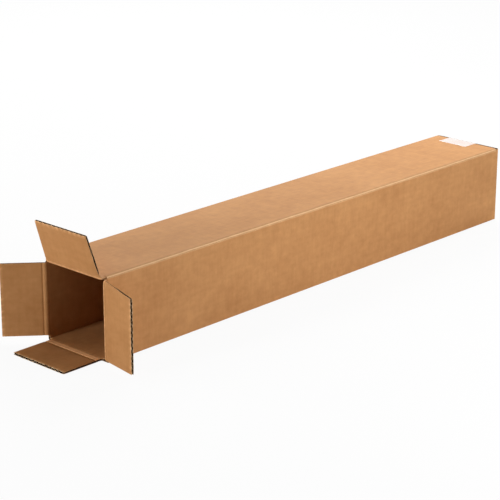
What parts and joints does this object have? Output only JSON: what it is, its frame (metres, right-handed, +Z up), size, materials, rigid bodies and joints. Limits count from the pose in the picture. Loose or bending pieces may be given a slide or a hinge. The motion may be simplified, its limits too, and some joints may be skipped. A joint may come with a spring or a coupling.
{
  "type": "long square corrugated shipping carton",
  "caption": "Long narrow square corrugated carton lying on one side, flaps open at one end and taped shut at the other.",
  "frame": {"origin": "middle of the bottom panel's outer face, on the surface that the carton lies on", "axes": "+X along the carton from the open mouth to the taped end, front wall facing -Y, +Z up"},
  "size_m": [0.8323, 0.1988, 0.1616],
  "materials": {
    "kraft_board": "matte brown kraft liner",
    "clear_tape": "clear glossy film"
  },
  "bodies": {
    "carton": {"carton_body": "kraft_board", "sealing_tape": "clear_tape"},
    "top_flap": {"top_flap": "kraft_board"},
    "bottom_flap": {"bottom_flap": "kraft_board"},
    "front_flap": {"front_flap": "kraft_board"},
    "back_flap": {"back_flap": "kraft_board"}
  },
  "joints": [
    {"name": "top_crease", "type": "hinge", "parent": "carton", "child": "top_flap", "pos_m": [-0.3891, 0, 0.1094], "axis": [0, 1, 0], "range_deg": [-165.2, 98.8]},
    {"name": "bottom_crease", "type": "hinge", "parent": "carton", "child": "bottom_flap", "pos_m": [-0.3891, 0, 0], "axis": [0, -1, 0], "range_deg": [-90, 174]},
    {"name": "front_crease", "type": "hinge", "parent": "carton", "child": "front_flap", "pos_m": [-0.3849, -0.0547, 0.0547], "axis": [0, 0, 1], "range_deg": [-170.9, 93.1]},
    {"name": "back_crease", "type": "hinge", "parent": "carton", "child": "back_flap", "pos_m": [-0.3849, 0.0547, 0.0547], "axis": [0, 0, -1], "range_deg": [-132, 132]}
  ]
}
